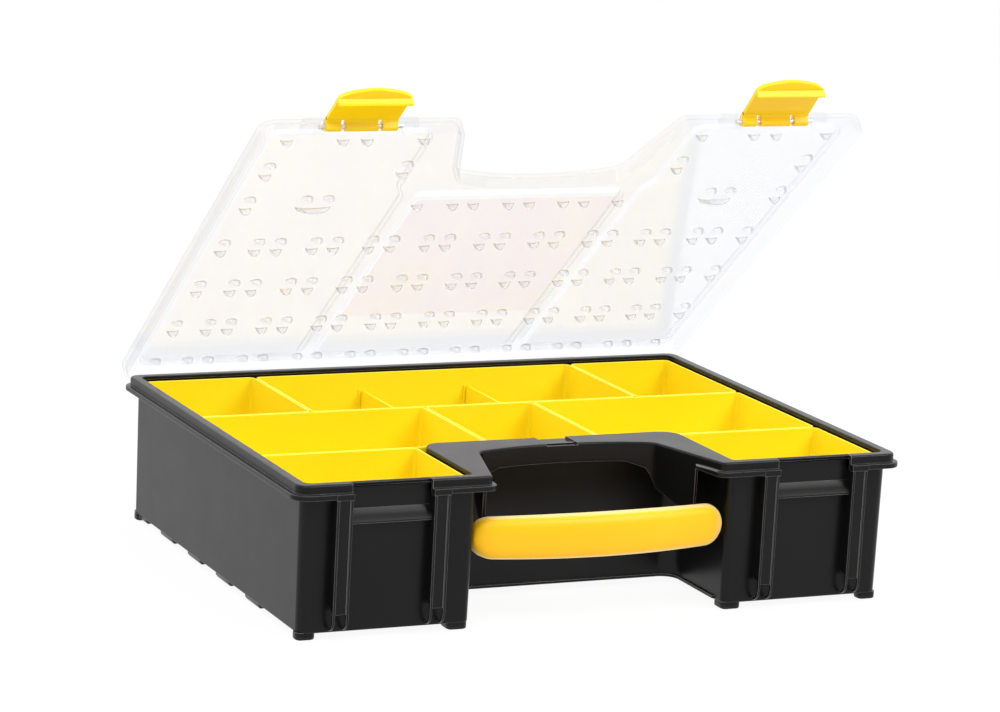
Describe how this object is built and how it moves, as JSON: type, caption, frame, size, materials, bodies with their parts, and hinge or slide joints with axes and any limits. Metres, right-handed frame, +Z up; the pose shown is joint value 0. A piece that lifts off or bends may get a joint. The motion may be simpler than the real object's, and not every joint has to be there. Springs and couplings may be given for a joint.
{
  "type": "parts organizer case",
  "caption": "Portable parts organizer: black tray with lift-out yellow bins, clear hinged lid with latches, and a carrying handle in a front recess.",
  "frame": {"origin": "on the ground, under the middle of the whole case as it stands half open, 3.8 mm behind the middle of the tray", "axes": "+X to the right seen from the handle's side, +Y to the lid's hinge, +Z up"},
  "size_m": [0.423, 0.3386, 0.3365],
  "materials": {
    "tray_plastic": "fine matt texture",
    "bin_plastic": "satin, slightly translucent at the edges",
    "latch_plastic": "satin",
    "handle_grip": "soft satin",
    "lid_clear": "clear, polished",
    "label_film": "clear film with pale blocks of tint",
    "pin_steel": "plain wire"
  },
  "bodies": {
    "base": {"tray": "tray_plastic", "handle": "handle_grip", "lid_hinge_pin_left": "pin_steel", "lid_hinge_pin_right": "pin_steel"},
    "lid": {"lid": "lid_clear", "lid_label": "label_film", "latch_pin_left": "pin_steel", "latch_pin_right": "pin_steel"},
    "latch_left_body": {"latch_left": "latch_plastic"},
    "latch_right_body": {"latch_right": "latch_plastic"},
    "bin_back_left_body": {"bin_back_left": "bin_plastic"},
    "bin_back_long_body": {"bin_back_long": "bin_plastic"},
    "bin_back_right_body": {"bin_back_right": "bin_plastic"},
    "bin_middle_left_body": {"bin_middle_left": "bin_plastic"},
    "bin_middle_small_body": {"bin_middle_small": "bin_plastic"},
    "bin_middle_right_body": {"bin_middle_right": "bin_plastic"},
    "bin_front_left_body": {"bin_front_left": "bin_plastic"},
    "bin_front_right_body": {"bin_front_right": "bin_plastic"},
    "divider_left_body": {"divider_left": "bin_plastic"},
    "divider_right_body": {"divider_right": "bin_plastic"}
  },
  "joints": [
    {"name": "lid_hinge", "type": "hinge", "parent": "base", "child": "lid", "pos_m": [0, 0.1607, 0.0908], "axis": [-1, 0, 0], "range_deg": [-39.5, 70.5]},
    {"name": "latch_left_hinge", "type": "hinge", "parent": "lid", "child": "latch_left_body", "pos_m": [-0.1452, -0.08377, 0.30502], "axis": [-1, 0, 0], "range_deg": [-89.5, 27.5]},
    {"name": "latch_right_hinge", "type": "hinge", "parent": "lid", "child": "latch_right_body", "pos_m": [0.1452, -0.08377, 0.30502], "axis": [-1, 0, 0], "range_deg": [-97, 20]},
    {"name": "back_left_lift", "type": "slide", "parent": "base", "child": "bin_back_left_body", "axis": [0, 0, 1], "range_m": [0, 0.008]},
    {"name": "back_long_lift", "type": "slide", "parent": "base", "child": "bin_back_long_body", "axis": [0, 0, 1], "range_m": [0, 0.008]},
    {"name": "back_right_lift", "type": "slide", "parent": "base", "child": "bin_back_right_body", "axis": [0, 0, 1], "range_m": [0, 0.008]},
    {"name": "middle_left_lift", "type": "slide", "parent": "base", "child": "bin_middle_left_body", "axis": [0, 0, 1], "range_m": [0, 0.095]},
    {"name": "middle_small_lift", "type": "slide", "parent": "base", "child": "bin_middle_small_body", "axis": [0, 0, 1], "range_m": [0, 0.095]},
    {"name": "middle_right_lift", "type": "slide", "parent": "base", "child": "bin_middle_right_body", "axis": [0, 0, 1], "range_m": [0, 0.095]},
    {"name": "front_left_lift", "type": "slide", "parent": "base", "child": "bin_front_left_body", "axis": [0, 0, 1], "range_m": [0, 0.1]},
    {"name": "front_right_lift", "type": "slide", "parent": "base", "child": "bin_front_right_body", "axis": [0, 0, 1], "range_m": [0, 0.1]},
    {"name": "divider_left_lift", "type": "slide", "parent": "bin_back_long_body", "child": "divider_left_body", "axis": [0, 0, 1], "range_m": [0, 0.015]},
    {"name": "divider_right_lift", "type": "slide", "parent": "bin_back_long_body", "child": "divider_right_body", "axis": [0, 0, 1], "range_m": [0, 0.015]}
  ]
}
